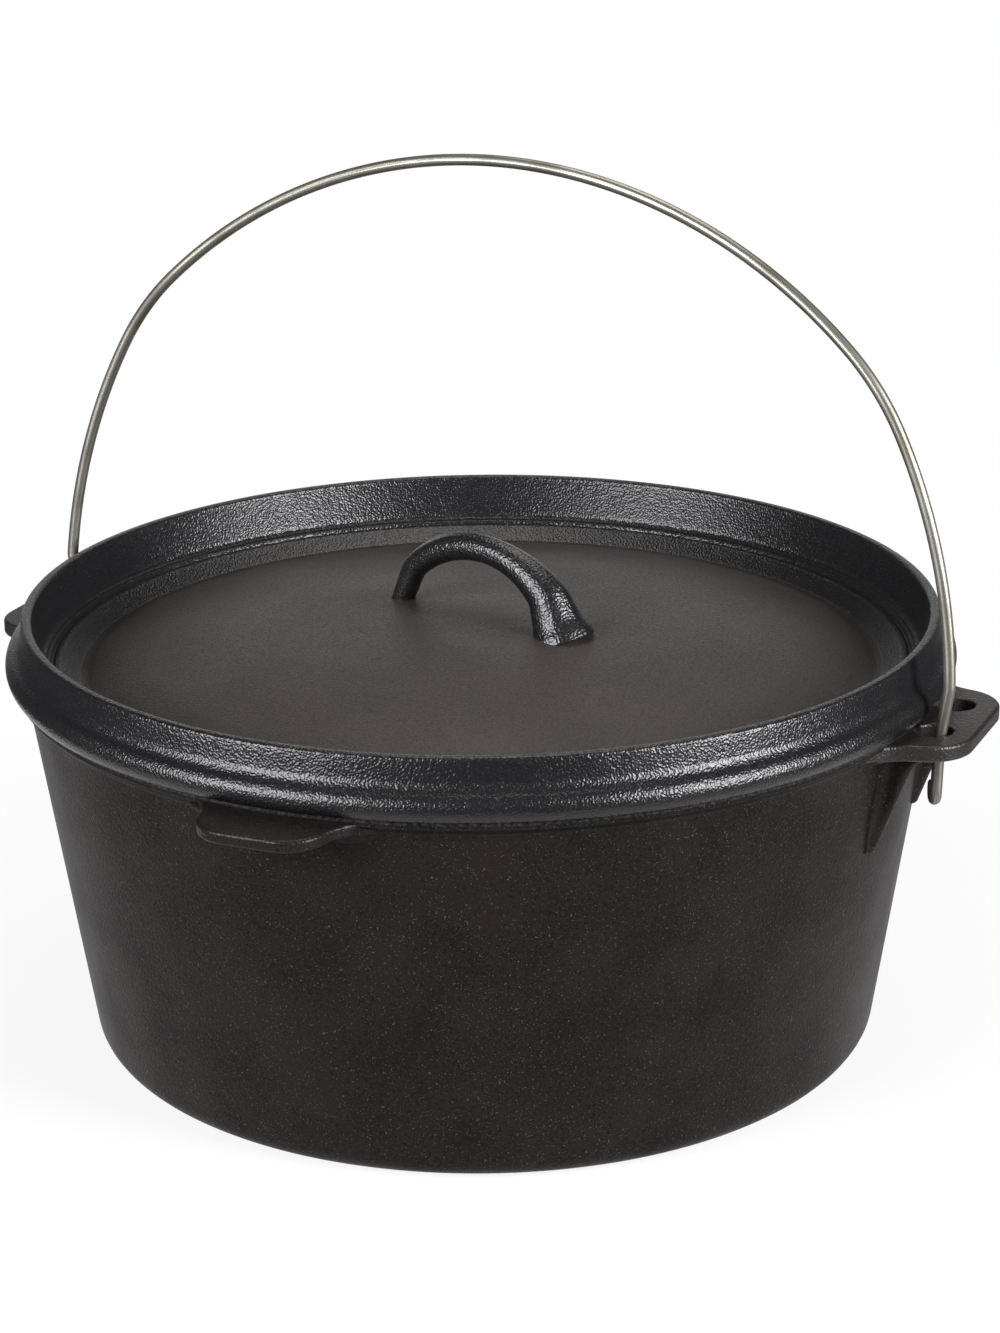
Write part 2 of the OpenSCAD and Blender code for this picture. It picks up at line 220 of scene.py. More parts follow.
class OvenSettings(bpy.types.PropertyGroup):
    """Everything that a user would change."""

    pot: PointerProperty(type=OvenPotSizes)
    plates: PointerProperty(type=OvenPlateSizes)
    lid: PointerProperty(type=OvenLidSizes)
    bail: PointerProperty(type=OvenBailSizes)
    finish: PointerProperty(type=OvenFinish)
    stage: PointerProperty(type=OvenStage)


def unit(v):
    """Vectors scaled to length one, along the last axis."""
    return v / np.linalg.norm(v, axis=-1, keepdims=True)


def arc(centre, radius, start, end, count):
    """Points centre + radius (cos a, sin a) for count angles a from start to end."""
    a = np.linspace(start, end, count)
    return np.asarray(centre) + radius * np.stack([np.cos(a), np.sin(a)], -1)


def rounded(corners, radii, count=9):
    """A line through corners, each inner one turned by an arc of its radius that touches both sides.

    The arc's middle lies on the corner's bisector at radius / sin(half the corner's angle).
    Its points are spread from one touching direction to the other by the sine rule.
    """
    c = np.asarray(corners, float)
    r = np.asarray(radii, float)[:, None]
    u = unit(c[:-2] - c[1:-1])
    v = unit(c[2:] - c[1:-1])
    half = np.arccos(np.clip((u * v).sum(-1, keepdims=True), -1, 1)) / 2
    middle = c[1:-1] + unit(u + v) * r / np.sin(half)
    first = c[1:-1] + u * r / np.tan(half) - middle
    last = c[1:-1] + v * r / np.tan(half) - middle
    span = (math.pi - 2 * half)[:, None]
    w = np.linspace(0, 1, count)[None, :, None]
    turn = np.sin((1 - w) * span) * first[:, None] + np.sin(w * span) * last[:, None]
    points = middle[:, None] + turn / np.sin(span)
    return np.concatenate([c[:1], points.reshape(-1, c.shape[1]), c[-1:]])


def spaced(line, step):
    """The same line with no two points further apart than about step, its own points kept."""
    s = np.concatenate([[0], np.cumsum(np.linalg.norm(np.diff(line, axis=0), axis=1))])
    at = np.unique(np.round(np.concatenate([s, np.arange(0, s[-1], step)]), 7))
    return np.stack([np.interp(at, s, column) for column in line.T], -1)


def even(line, step):
    """The line sampled at equal distances of about step along it."""
    s = np.concatenate([[0], np.cumsum(np.linalg.norm(np.diff(line, axis=0), axis=1))])
    at = np.linspace(0, s[-1], int(s[-1] / step) + 1)
    return np.stack([np.interp(at, s, column) for column in line.T], -1)


def place(obj, body, node, slot, finish):
    """Gives a piece its material and its body, and hides the CAD node that it stands for. The slot is not
    used.
    """
    obj.data.materials.append(finish)
    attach(obj, body)
    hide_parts(node)


def closed_piece(name, mesh):
    """An object of a mesh whose doubled points are merged and whose faces point outwards."""
    bm = bmesh.new()
    bm.from_mesh(mesh)
    bmesh.ops.remove_doubles(bm, verts=bm.verts, dist=2e-6)
    bmesh.ops.dissolve_degenerate(bm, edges=bm.edges, dist=1e-7)
    bmesh.ops.recalc_face_normals(bm, faces=bm.faces)
    bm.to_mesh(mesh)
    bm.free()
    mesh.shade_smooth()
    obj = bpy.data.objects.new(name, mesh)
    bpy.context.scene.collection.objects.link(obj)
    return obj


def grid_piece(name, grid, attribute=None):
    """A skin of four-sided faces over a grid of points, closed along its second way.

    A face joins the points (i, j), (i, j + 1), (i + 1, j + 1) and (i + 1, j), and j goes round.
    """
    rows, columns = grid.shape[:2]
    index = np.arange(rows * columns).reshape(rows, columns)
    index = np.concatenate([index, index[:, :1]], 1)
    faces = np.stack([index[:-1, :-1], index[:-1, 1:], index[1:, 1:], index[1:, :-1]], -1).reshape(-1, 4)
    mesh = bpy.data.meshes.new(name)
    mesh.from_pydata(grid.reshape(-1, 3), [], faces)
    if attribute is not None:
        layer = mesh.attributes.new(attribute[0], "FLOAT_VECTOR", "POINT")
        layer.data.foreach_set("vector", attribute[1].reshape(-1).astype(np.float32))
    return closed_piece(name, mesh)


def turned_piece(name, profile, count=288):
    """A section of radius and height turned about Z: (r cos a, r sin a, z)."""
    a = np.linspace(0, 2 * math.pi, count, endpoint=False)
    r = profile[:, :1]
    z = np.broadcast_to(profile[:, 1:], (len(profile), count))
    return grid_piece(name, np.stack([r * np.cos(a), r * np.sin(a), z], -1))


def ring_frames(path, normal):
    """Two directions square to a path: across its plane's normal, and the rest of the right angle."""
    along = unit(np.gradient(path, axis=0))
    across = unit(np.cross(along, normal))
    return across, np.cross(across, along)


def plate_piece(name, outlines, low, high, soft):
    """Flat outlines side by side, drawn down from high to low, with a soft rounding on each edge."""
    counts = [len(o) for o in outlines]
    ends = np.cumsum([0] + counts)
    points = np.concatenate(outlines)
    points = np.concatenate([points, np.full((len(points), 1), high)], 1)
    mesh = bpy.data.meshes.new(name)
    mesh.from_pydata(points, [], [list(range(a, b)) for a, b in zip(ends[:-1], ends[1:])])
    bm = bmesh.new()
    bm.from_mesh(mesh)
    bmesh.ops.remove_doubles(bm, verts=bm.verts, dist=1e-6)
    drawn = bmesh.ops.extrude_face_region(bm, geom=bm.faces[:])["geom"]
    lower = [g for g in drawn if isinstance(g, bmesh.types.BMVert)]
    bmesh.ops.translate(bm, verts=lower, vec=(0, 0, low - high))
    bm.to_mesh(mesh)
    bm.free()
    obj = closed_piece(name, mesh)
    bevel = obj.modifiers.new("soft edges", "BEVEL")
    bevel.width = soft
    bevel.segments = 4
    bevel.limit_method = "ANGLE"
    bevel.angle_limit = math.radians(50)
    bevel.harden_normals = True
    return obj


def spun(points, turn):
    """Points turned about Z by an angle."""
    c, s = math.cos(turn), math.sin(turn)
    return points @ np.array([[c, s, 0], [-s, c, 0], [0, 0, 1]])


class Value:
    """A shader socket that takes part in arithmetic: each operator adds one Math node."""

    def __init__(self, finish, socket):
        self.finish = finish
        self.socket = socket

    def math(self, operation, first, second):
        return self.finish.node("ShaderNodeMath", {"operation": operation}, {0: first, 1: second})

    def __add__(self, other):
        return self.math("ADD", self, other)

    def __radd__(self, other):
        return self.math("ADD", other, self)

    def __sub__(self, other):
        return self.math("SUBTRACT", self, other)

    def __rsub__(self, other):
        return self.math("SUBTRACT", other, self)

    def __mul__(self, other):
        return self.math("MULTIPLY", self, other)

    def __rmul__(self, other):
        return self.math("MULTIPLY", other, self)


class Finish:
    """A material, or a world if one is given, and its node tree."""

    def __init__(self, name, world=None):
        self.material = world or bpy.data.materials.new(name)
        self.material.use_nodes = True
        self.tree = self.material.node_tree
        self.tree.nodes.clear()

    def node(self, kind, settings=None, sockets=None, out=0):
        """Adds a node, sets its settings first, then its sockets' values or links, and gives one output."""
        node = self.tree.nodes.new(kind)
        for key, value in (settings or {}).items():
            setattr(node, key, value)
        for key, value in (sockets or {}).items():
            if isinstance(value, Value):
                self.tree.links.new(value.socket, node.inputs[key])
            else:
                node.inputs[key].default_value = value
        return Value(self, node.outputs[out]) if node.outputs else None

    def noise(self, where, scale, detail, rough=0.5):
        """A soft noise from 0 to 1 with scale lumps to the metre, and detail finer ones on them."""
        sockets = {"Vector": where, "Scale": scale, "Detail": detail, "Roughness": rough}
        return self.node("ShaderNodeTexNoise", None, sockets)

    def ramp(self, value, low, high, start=0.0, end=1.0):
        """A smooth step of value from low to high, which gives start to end."""
        return self.node(
            "ShaderNodeMapRange",
            {"interpolation_type": "SMOOTHSTEP"},
            {"Value": value, "From Min": low, "From Max": high, "To Min": start, "To Max": end},
        )

    def blend(self, share, first, second):
        """A colour between two, by a share from 0 to 1."""
        colours = {}
        for key, value in ((6, first), (7, second)):
            colours[key] = value if isinstance(value, Value) else (*value, 1.0)
        return self.node("ShaderNodeMix", {"data_type": "RGBA"}, {0: share, **colours}, 2)

    def bump(self, height, distance):
        """A normal from a height of 0 to 1 that stands for distance metres."""
        return self.node("ShaderNodeBump", None, {"Height": height, "Strength": 1.0, "Distance": distance})

    def close(self, sockets):
        """Ends the tree in a Principled surface."""
        surface = self.node("ShaderNodeBsdfPrincipled", None, sockets)
        self.node("ShaderNodeOutputMaterial", None, {"Surface": surface})
        return self.material


def object_place(finish):
    """Where a point is on the piece, in metres."""
    return finish.node("ShaderNodeTexCoord", None, None, "Object")


def cast_iron(name, colours, pebble, depth, speckle, shine, gloss, painted_glint_from=None):
    """Seasoned sand-cast iron.

    The skin is a pebble of the given scale with a sand grain of twice that scale on it, depth metres deep.
    The colour goes from the first to the second of colours by a slow cloud and the pebble.
    Grains of the third, pale one show at the tops of the pebble, as many as speckle says.
    Roughness is shine, and wanders with the cloud and with the grains.
    Edges above the height painted_glint_from get a pale band in patches: a painted highlight along the rim's
    top edge.
    """
    light, dark, bare = colours
    f = Finish(name)
    where = object_place(f)
    cloud = f.noise(where, 38.0, 3.0)
    sand = f.noise(where, pebble * 2.1, 1.0)
    lump = f.noise(where, pebble, 0.0)
    spark = f.ramp(sand, 0.72 - speckle, 0.80 - speckle) * f.ramp(lump, 0.40, 0.60)
    body = f.blend(f.ramp(cloud * 0.55 + lump * 0.45, 0.38, 0.64), light, dark)
    colour = f.blend(spark * 0.40, body, bare)
    # painted highlight: a pale band in patches along the rim's top edge
    if painted_glint_from:
        high = f.node("ShaderNodeSeparateXYZ", None, {0: where}, "Z")
        painted_glint = f.ramp(high, painted_glint_from, painted_glint_from + 0.0005) * f.ramp(f.noise(where, 700.0, 3.0), 0.35, 0.70)
        colour = f.blend(painted_glint * 0.18, colour, bare)
    rough = shine + (cloud - 0.5) * 0.16 - spark * 0.12
    normal = f.bump(lump * 0.88 + sand * 0.12, depth)
    return f.close({"Base Color": colour, "Roughness": rough, "Normal": normal, "Specular IOR Level": gloss})


def lid_iron(finish):
    """The lid's iron: pebbled and bright on the flange, bead and ledges, finer and dull on the plate.

    The share between the two, edge, follows the distance from the lid's axis.
    The plate's colour and roughness wander with its lumps, the edge's roughness with its bare grains.
    """
    f = Finish("lid_iron")
    where = object_place(f)
    flat = f.node("ShaderNodeVectorMath", {"operation": "MULTIPLY"}, {0: where, 1: (1.0, 1.0, 0.0)})
    away = f.node("ShaderNodeVectorMath", {"operation": "LENGTH"}, {0: flat}, "Value")
    cloud = f.noise(where, 30.0, 4.0, 0.6)
    sand = f.noise(where, 2600.0, 1.0)
    lump = f.noise(where, 1450.0, 0.0)
    edge = f.ramp(away + (cloud - 0.5) * 0.005, 0.1320, 0.1410)
    height = lump * (edge * 0.54 + 0.32) + sand * 0.10
    spark = f.ramp(sand, 0.56, 0.68) * f.ramp(lump, 0.44, 0.60)
    bright, dark = (tuple(c * k for c in finish.plate_iron) for k in (1.35, 0.62))
    plate = f.blend(f.ramp(cloud * 0.35 + lump * 0.65, 0.36, 0.64), bright, dark)
    body = f.blend(edge, plate, tuple(finish.iron))
    colour = f.blend(spark * (edge * 0.05 + 0.04), body, tuple(finish.bare_iron))
    grain = (lump - 0.5) * (0.3 - edge * 0.3)
    rough = 0.50 - edge * 0.20 + (cloud - 0.5) * 0.10 - spark * edge * 0.08 + grain
    normal = f.bump(height, 0.00025)
    return f.close({"Base Color": colour, "Roughness": rough, "Normal": normal, "Specular IOR Level": 0.37})


def zinc_wire(finish):
    """Drawn and plated wire: streaks run along it, from an attribute that holds round and along."""
    f = Finish("zinc_wire")
    where = f.node("ShaderNodeAttribute", {"attribute_name": "wire_place"}, None, "Vector")
    streak = f.noise(where, 3.0, 2.0)
    fine = f.noise(where, 9.0, 1.0)
    stain = f.noise(object_place(f), 55.0, 3.0)
    dull = f.ramp(streak * 0.7 + stain * 0.3, 0.40, 0.60)
    plated = f.blend(f.ramp(stain, 0.52, 0.70), tuple(finish.zinc), tuple(finish.stained_zinc))
    colour = f.blend(dull, plated, tuple(finish.dull_zinc))
    rough = 0.36 + dull * 0.14 + (fine - 0.5) * 0.14
    normal = f.bump(streak * 0.6 + fine * 0.4, 0.00006)
    return f.close({"Base Color": colour, "Metallic": 0.85, "Roughness": rough, "Normal": normal})


def iron_of(name):
    """An iron material by its name, made once."""
    finish = bpy.context.scene.oven.finish
    if name in bpy.data.materials:
        return bpy.data.materials[name]
    if name == "lid_iron":
        return lid_iron(finish)
    tone = {
        "wall_iron": finish.wall_iron,
        "ear_iron": finish.ear_iron,
        "lug_iron": finish.wall_iron,
        "loop_iron": finish.iron,
    }[name]
    colours = [tuple(c * 1.12 for c in tone), tuple(c * 0.58 for c in tone), tuple(finish.bare_iron)]
    # the wall's painted highlight band starts just under the rim's top
    rim = POT_HIGH[2] - 0.0019
    values = {
        "wall_iron": dict(pebble=900.0, depth=0.00016, speckle=0.095, shine=0.44, gloss=0.066, painted_glint_from=rim),
        "ear_iron": dict(pebble=1300.0, depth=0.0002, speckle=0.08, shine=0.40, gloss=0.38),
        "lug_iron": dict(pebble=1300.0, depth=0.0002, speckle=0.08, shine=0.36, gloss=0.15),
        "loop_iron": dict(pebble=1350.0, depth=0.00026, speckle=0.10, shine=0.30, gloss=0.46),
    }[name]
    return cast_iron(name, colours, **values)


def wall_radius(z):
    """The pot's outer radius at a height: the rim's, less the drop times the draft's tangent."""
    p = bpy.context.scene.oven.pot
    return p.mouth + p.wall - (p.height - z) * math.tan(p.draft)


def plate_outline(tip, edge, corner, root, wall):
    """Half of a plate's outline from the wall to the middle of its edge, with y upwards.

    A hollow arc touches the wall's circle and the corner's circle from outside.
    The corner's circle then runs on to the straight edge.
    """
    c = np.array([tip - corner, edge / 2])
    d = np.linalg.norm(c)
    u = c / d
    a = ((wall + root) ** 2 - (corner + root) ** 2 + d * d) / (2 * d)
    h = math.sqrt((wall + root) ** 2 - a * a)
    hollow = a * u + h * np.array([-u[1], u[0]])
    to_wall = math.atan2(-hollow[1], -hollow[0])
    to_corner = math.atan2(c[1] - hollow[1], c[0] - hollow[0])
    out = math.atan2(hollow[1] - c[1], hollow[0] - c[0])
    return np.concatenate(
        [
            arc(hollow, root, to_wall % (2 * math.pi), to_corner % (2 * math.pi), 20),
            arc(c, corner, out, 0, 24)[1:],
        ]
    )


class OVEN_OT_pot_wall(bpy.types.Operator):
    """Turns the pot's wall, base and rim from their section"""

    bl_idname = "oven.pot_wall"
    bl_label = "Pot wall"

    def execute(self, context):
        p = context.scene.oven.pot
        rim = wall_radius(p.height) + p.rim_out
        below = p.height - p.rim_height
        inside = wall_radius(p.floor) - p.wall
        corners = [
            (0, 0),
            (wall_radius(0), 0),
            (wall_radius(below - p.rim_out), below - p.rim_out),
            (rim, below),
            (rim, p.height),
            (p.mouth, p.height),
            (inside, p.floor),
            (0, p.floor),
        ]
        under_rim, rim_edge, mouth_edge = 0.003, 0.0009, 0.0012
        radii = [p.base_round, under_rim, rim_edge, rim_edge, mouth_edge, p.floor_cove]
        wall = turned_piece("pot_wall", spaced(rounded(corners, radii), SECTION_STEP))
        place(wall, "pot", "pot", "iron", iron_of("wall_iron"))
        return {"FINISHED"}


class OVEN_OT_pot_plates(bpy.types.Operator):
    """Adds the two ears with their holes, the tipping lug and the hollows under them"""

    bl_idname = "oven.pot_plates"
    bl_label = "Ears and lug"

    def execute(self, context):
        p = context.scene.oven.plates
        top = context.scene.oven.pot.height - p.drop
        low = top - p.thick
        wall = wall_radius(low)
        inner = wall - context.scene.oven.pot.wall / 2
        half = plate_outline(p.ear_tip, p.ear_edge, p.ear_corner, p.root, wall)
        x, y, r = p.ear_tip - p.hole_in, p.hole_pitch / 2, p.hole / 2
        on_wall = math.atan2(half[0, 1], half[0, 0])
        at_hole = math.asin(y / inner)
        upper = np.concatenate(
            [
                arc((0, 0), inner, on_wall, at_hole, 12),
                arc((x, y), r, math.pi, 0, 25),
                [[p.ear_tip, y]],
                half[::-1],
            ]
        )
        lower = np.concatenate(
            [
                arc((0, 0), inner, at_hole, 0, 6),
                [[p.ear_tip, 0], [p.ear_tip, y]],
                arc((x, y), r, 0, -math.pi, 25),
            ]
        )
        flip = np.array([1, -1])
        for name, side in (("ear_right", 1), ("ear_left", -1)):
            outlines = [upper * side, (upper * flip)[::-1] * side, lower * side, (lower * flip)[::-1] * side]
            ear = plate_piece(name, outlines, low, top, p.soft)
            place(ear, "pot", "pot", "iron", iron_of("ear_iron"))
        half = plate_outline(p.lug_tip, p.lug_edge, p.lug_corner, p.root, wall)
        lug_wall = math.atan2(half[0, 1], half[0, 0])
        outline = np.concatenate([arc((0, 0), inner, -lug_wall, lug_wall, 16), half, (half * flip)[::-1]])
        outline = outline @ np.array([[0, -1], [1, 0]])
        lug = plate_piece("tipping_lug", [outline], top - p.lug_thick, top, p.soft)
        place(lug, "pot", "pot", "iron", iron_of("lug_iron"))
        for name, under, turn, reach in (
            ("ear_cove_right", low, 0, on_wall),
            ("ear_cove_left", low, math.pi, on_wall),
            ("lug_cove", top - p.lug_thick, -math.pi / 2, lug_wall),
        ):
            cove = self.cove(name, p.cove, under, turn, reach * 0.97)
            place(cove, "pot", "pot", "iron", iron_of("wall_iron"))
        return {"FINISHED"}

    def cove(self, name, size, low, turn, reach):
        """A hollow quarter round under a plate, which fades out towards its two ends.

        Its section is an arc from the plate's underside to the leaning wall, closed inside the iron.
        At its two ends the section shrinks to a point inside the iron.
        """
        fading, sunk = 0.35, 0.002
        a = np.linspace(-reach, reach, 90)[:, None]
        fade = np.clip((reach - np.abs(a)) / (reach * fading), 0, 1)
        size = size * (fade * fade * (3 - 2 * fade)) + 1e-5
        inside = np.full_like(a, sunk)
        w = np.linspace(math.pi / 2, math.pi, 9)
        up = np.concatenate([size * (np.sin(w) - 1), -size, inside, inside], 1)
        out = np.concatenate([size * (1 + np.cos(w)), -inside, -inside, size], 1)
        out = out + up * math.tan(bpy.context.scene.oven.pot.draft)
        ends = np.ones_like(a)
        ends[[0, -1]] = 0
        r = wall_radius(low) - sunk + (out + sunk) * ends
        z = low + sunk / 2 + (up - sunk / 2) * ends
        grid = np.stack([r * np.cos(a), r * np.sin(a), z], -1)
        return grid_piece(name, spun(grid.reshape(-1, 3), turn).reshape(grid.shape))


class OVEN_OT_pot_ribs(bpy.types.Operator):
    """Adds the four ribs under the ears"""

    bl_idname = "oven.pot_ribs"
    bl_label = "Ribs"

    def execute(self, context):
        p = context.scene.oven.plates
        across = p.ear_edge / 2 + p.ear_corner - p.rib_inset
        for name, turn, side in (
            ("rib_right_front", 0, -1),
            ("rib_right_back", 0, 1),
            ("rib_left_front", math.pi, 1),
            ("rib_left_back", math.pi, -1),
        ):
            rib = self.rib(name, p, across * side, turn)
            place(rib, "pot", "pot", "iron", iron_of("wall_iron"))
        return {"FINISHED"}

    def rib(self, name, p, across, turn):
        """Level sections of a rib carried down the wall.

        A section is a tongue: it flares where it leaves the wall, has even sides and a round end.
        Its reach follows a hollow under the ear, then a sloping edge, then the round nose at the foot.
        The rows are close together in the hollow and at the nose.
        """
        sunk_up, sunk_in = 0.002, 0.003
        hollow_size, flare_size, least = 0.007, 0.0035, 0.0004
        close_top, close_foot = 0.008, 0.0065
        top = bpy.context.scene.oven.pot.height - p.drop - p.thick
        foot = top - p.rib_height
        z = np.concatenate(
            [
                np.linspace(top + sunk_up, top - close_top, 20),
                np.linspace(top - close_top - 0.001, foot + close_foot + 0.0005, 30),
                foot + close_foot * np.cos(np.linspace(0.1, math.pi / 2, 16)),
            ]
        )[:, None]
        root = np.sqrt(wall_radius(z) ** 2 - across * across)
        nose_z = foot + p.rib_nose
        nose = np.array([math.sqrt(wall_radius(nose_z) ** 2 - across * across), nose_z])
        tip = np.array([p.ear_tip - p.rib_short, top])
        away = tip - nose
        touch = math.atan2(away[1], away[0]) - math.acos(p.rib_nose / np.linalg.norm(away))
        touch = nose + p.rib_nose * np.array([math.cos(touch), math.sin(touch)])
        edge = touch[0] + (z - touch[1]) * (tip[0] - touch[0]) / (tip[1] - touch[1])
        bulge = nose[0] + np.sqrt(np.clip(p.rib_nose**2 - (z - nose[1]) ** 2, 0, None))
        hollow = np.clip(1 - (top - z) / hollow_size, 0, 1)
        edge = np.where(z < touch[1], bulge, edge) + hollow_size * (1 - np.sqrt(1 - hollow * hollow))
        reach = np.clip(edge - root, least, None)
        w = (1 - np.cos(np.linspace(0, math.pi, 26))) / 2
        d = w * reach
        thick = p.rib_thick / 2
        flare = np.minimum(flare_size, reach * 0.8)
        near = np.clip(1 - d / flare, 0, 1)
        tail = np.minimum(thick, reach)
        far = np.clip((d - (reach - tail)) / tail, 0, 1)
        wide = thick * np.sqrt(1 - far * far) + flare * (1 - np.sqrt(1 - near * near))
        middle = root - sunk_in
        x = np.concatenate([middle, root + d, (root + d)[:, ::-1], middle], 1)
        y = np.concatenate([wide[:, :1], wide, -wide[:, ::-1], -wide[:, :1]], 1)
        ends = np.ones_like(z)
        ends[[0, -1]] = 0
        grid = np.stack([middle + (x - middle) * ends, across + y * ends, np.broadcast_to(z, x.shape)], -1)
        return grid_piece(name, spun(grid.reshape(-1, 3), turn).reshape(grid.shape))


def dome_height(r):
    """Height of the dome at a radius: a ball's cap over the plate's edge."""
    s = bpy.context.scene.oven
    ball = (s.lid.plate_radius**2 + s.lid.dome_rise**2) / (2 * s.lid.dome_rise)
    middle = s.pot.height - s.lid.plate_drop + s.lid.dome_rise - ball
    return middle + np.sqrt(ball * ball - np.asarray(r) ** 2)


class OVEN_OT_lid_plate(bpy.types.Operator):
    """Turns the lid's dome, ledges, coal flange and bead from their section"""

    bl_idname = "oven.lid_plate"
    bl_label = "Lid plate"

    def execute(self, context):
        """The section runs from under the dome out to the bead, over the flange and back in to the dome.

        The bead is an arc, and a hollow arc touches it and the flange's outer line.
        The other corners are rounded, and the dome is a ball's cap.
        """
        p = context.scene.oven.lid
        rim = context.scene.oven.pot.height
        top = rim + p.flange_height
        lean = math.tan(p.flange_draft)
        outer = p.radius - p.flange_in
        ledge = rim + p.ledge_up
        ledge_r = outer - p.flange_thick - (top - ledge) * lean
        low = ledge - p.ledge_step
        shelf_r = ledge_r - p.ledge_wide
        low_r = shelf_r - p.low_wide
        trough = rim - p.plate_drop - p.trough
        plug = context.scene.oven.pot.mouth - p.plug_play
        slip = p.plug_depth * math.tan(context.scene.oven.pot.draft)
        bead_c = np.array([p.radius - p.bead, rim + p.bead_up])
        start = math.asin(-p.bead_up / p.bead)
        down = np.array([math.sin(p.flange_draft), -math.cos(p.flange_draft)])
        away = np.array([math.cos(p.flange_draft), math.sin(p.flange_draft)])
        gap = np.array([outer, top]) + p.crease * away - bead_c
        slide = -(gap @ down) - math.sqrt((gap @ down) ** 2 - gap @ gap + (p.bead + p.crease) ** 2)
        crease_c = bead_c + gap + slide * down
        crease_a = math.atan2(*(crease_c - bead_c)[::-1])
        bead = arc(bead_c, p.bead, start, crease_a, 26)
        hollow = arc(crease_c, p.crease, crease_a + math.pi, p.flange_draft + math.pi, 14)
        r = np.linspace(0, p.plate_radius - p.plate_thick, 40)
        under = np.stack([r, dome_height(r) - p.plate_thick], -1)
        plug_cove, plug_edge, seat_cove = 0.003, 0.001, 0.0008
        plug_line = rounded(
            [
                under[-1],
                (plug - slip - p.plate_thick, rim - p.plug_depth - p.plate_thick / 4),
                (plug - slip, rim - p.plug_depth),
                (plug, rim),
                bead[0],
            ],
            [plug_cove, plug_edge, seat_cove],
        )
        lip, foot_cove, shelf_edge = 0.0014, 0.0024, 0.0010
        groove_bed, groove_edge = 0.0005, 0.0006
        step_edge, step_foot, skirt_foot = 0.0030, 0.0020, 0.009
        rise = rounded(
            [
                hollow[-1],
                (outer, top),
                (outer - p.flange_thick, top),
                (ledge_r, ledge),
                (shelf_r, ledge),
                (shelf_r - p.groove_wide * 0.45, low - p.groove_deep),
                (shelf_r - p.groove_wide, low),
                (low_r, low),
                (low_r - p.step_run, trough),
                (p.plate_radius + p.trough_in, trough),
                (p.dome_straight, float(dome_height(p.dome_straight))),
            ],
            [lip, lip, foot_cove, shelf_edge, groove_bed, groove_edge, step_edge, step_foot, skirt_foot],
        )
        r = np.linspace(p.dome_straight, 0, 40)
        dome = np.stack([r, dome_height(r)], -1)
        section = np.concatenate([under, plug_line, bead[1:], hollow[1:-1], rise, dome[1:]])
        plate = turned_piece("lid_plate", spaced(section, SECTION_STEP))
        place(plate, "lid", "lid", "iron", iron_of("lid_iron"))
        return {"FINISHED"}


class OVEN_OT_lid_loop(bpy.types.Operator):
    """Adds the loop handle, thick at one foot and thin at the other"""

    bl_idname = "oven.lid_loop"
    bl_label = "Lid loop"

    def execute(self, context):
        """Rings along an arch of a crown arc, two shoulder arcs that touch it and two straight legs.

        A ring's radius goes from the crown's to a foot's by the square of the way along.
        The thick foot flares by the square of the nearness to the dome.
        The ridge on top is a bell curve of the angle round the bar.
        """
        p = context.scene.oven.lid
        crown = float(dome_height(0)) + p.loop_rise - p.crown_radius
        a = np.linspace(0, p.crown_half, 40)
        line = p.crown_radius * np.stack([np.sin(a), np.cos(a)], -1) + [0, crown]
        gap = p.crown_radius - p.shoulder_radius
        shoulder = np.array([gap * math.sin(p.crown_half), crown + gap * math.cos(p.crown_half)])
        a = np.linspace(p.crown_half, p.leg_slope, 20)
        turn = shoulder + p.shoulder_radius * np.stack([np.sin(a), np.cos(a)], -1)
        drop = turn[-1, 1] - float(dome_height(turn[-1, 0])) + p.plate_thick / 2
        leg = turn[-1] + np.linspace(0, drop / math.sin(p.leg_slope), 30)[:, None] * np.array(
            [math.cos(p.leg_slope), -math.sin(p.leg_slope)]
        )
        half = even(np.concatenate([line, turn[1:], leg[1:]]), LOOP_STEP)
        w = np.linspace(0, 1, len(half))
        radius = np.concatenate(
            [
                (p.loop_thick + (p.thin_foot - p.loop_thick) * w * w)[::-1] / 2,
                (p.loop_thick + (p.thick_foot - p.loop_thick) * w * w)[1:] / 2,
            ]
        )
        path = np.concatenate([(half * [-1, 1])[::-1], half[1:]])
        above = path[:, 1] - dome_height(path[:, 0])
        near = np.clip(1 - above / p.flare_height, 0, 1.0)
        radius = radius + p.foot_flare * near**2 * (path[:, 0] > 0)
        path = np.insert(path, 1, 0.0, axis=1)
        across, out = ring_frames(path, np.array([0.0, 1.0, 0.0]))
        a = np.linspace(0, 2 * math.pi, 72, endpoint=False)
        ridge_half = 0.10
        ridge = p.ridge * np.exp(-((np.minimum(a, 2 * math.pi - a) / ridge_half) ** 2))
        size = radius[:, None] + ridge
        grid = path[:, None] + size[..., None] * (
            np.cos(a)[None, :, None] * across[:, None] + np.sin(a)[None, :, None] * out[:, None]
        )
        ends = np.repeat(path[[0, -1]][:, None], len(a), 1)
        grid = np.concatenate([ends[:1], grid, ends[1:]])
        loop = grid_piece("lid_loop", spun(grid.reshape(-1, 3), p.turn).reshape(grid.shape))
        place(loop, "lid", "lid", "iron", iron_of("loop_iron"))
        return {"FINISHED"}


